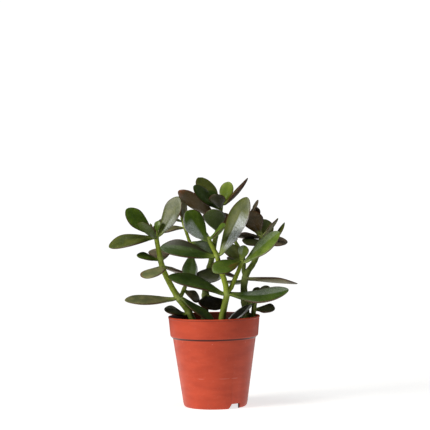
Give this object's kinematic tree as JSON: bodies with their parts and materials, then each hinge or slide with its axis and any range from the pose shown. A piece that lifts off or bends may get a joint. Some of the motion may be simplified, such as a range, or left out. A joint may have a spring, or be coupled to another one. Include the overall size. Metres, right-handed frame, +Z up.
{
  "type": "potted jade plant",
  "caption": "Young jade plant with thick oval leaves on branching green stems, growing in soil in a tapered plastic nursery pot.",
  "frame": {"origin": "on the ground at the pot's axis, in the middle of its base", "axes": "+Z up; -Y is the front, +X the plant's right as seen from the front"},
  "size_m": [0.2436, 0.1397, 0.2991],
  "materials": {
    "pot": "satin",
    "soil": "matte",
    "stem_young": "satin",
    "leaf_dark": "satin",
    "leaf_green": "satin",
    "leaf_olive": "satin",
    "leaf_bronze": "satin",
    "leaf_young": "satin",
    "stem_old": "matte"
  },
  "bodies": {
    "root": {"pot": "pot", "soil": "soil", "left_stem": "stem_young", "left_leaf_1": "leaf_dark", "left_leaf_2": "leaf_green", "left_leaf_3": "leaf_olive", "left_leaf_4": "leaf_olive", "left_leaf_5": "leaf_olive", "left_leaf_6": "leaf_olive", "left_leaf_7": "leaf_green", "left_leaf_8": "leaf_olive", "left_leaf_9": "leaf_olive", "left_leaf_10": "leaf_green", "left_leaf_11": "leaf_dark", "inner_stem": "stem_young", "inner_leaf_1": "leaf_olive", "inner_leaf_2": "leaf_dark", "inner_leaf_3": "leaf_olive", "inner_leaf_4": "leaf_olive", "inner_leaf_5": "leaf_bronze", "front_stem": "stem_young", "front_leaf_1": "leaf_green", "front_leaf_2": "leaf_olive", "front_leaf_3": "leaf_green", "front_leaf_4": "leaf_olive", "front_leaf_5": "leaf_green", "front_leaf_6": "leaf_green", "fork_stem": "stem_young", "fork_leaf_1": "leaf_green", "fork_leaf_2": "leaf_dark", "fork_leaf_3": "leaf_young", "fork_leaf_4": "leaf_olive", "fork_leaf_5": "leaf_young", "centre_stem": "stem_old", "centre_leaf_1": "leaf_dark", "centre_leaf_2": "leaf_dark", "centre_leaf_3": "leaf_dark", "centre_leaf_4": "leaf_green", "centre_leaf_5": "leaf_bronze", "centre_leaf_6": "leaf_green", "centre_leaf_7": "leaf_olive", "centre_leaf_8": "leaf_dark", "centre_leaf_9": "leaf_young", "centre_leaf_10": "leaf_olive", "right_stem": "stem_old", "right_leaf_1": "leaf_dark", "right_leaf_2": "leaf_olive", "right_leaf_3": "leaf_green", "right_leaf_4": "leaf_bronze", "right_leaf_5": "leaf_bronze", "right_leaf_6": "leaf_bronze", "right_leaf_7": "leaf_olive", "right_leaf_8": "leaf_bronze", "right_leaf_9": "leaf_bronze", "back_stem": "stem_old", "back_leaf_1": "leaf_bronze", "short_stem": "stem_old", "short_leaf_1": "leaf_dark", "short_leaf_2": "leaf_dark", "short_leaf_3": "leaf_dark"}
  },
  "joints": []
}
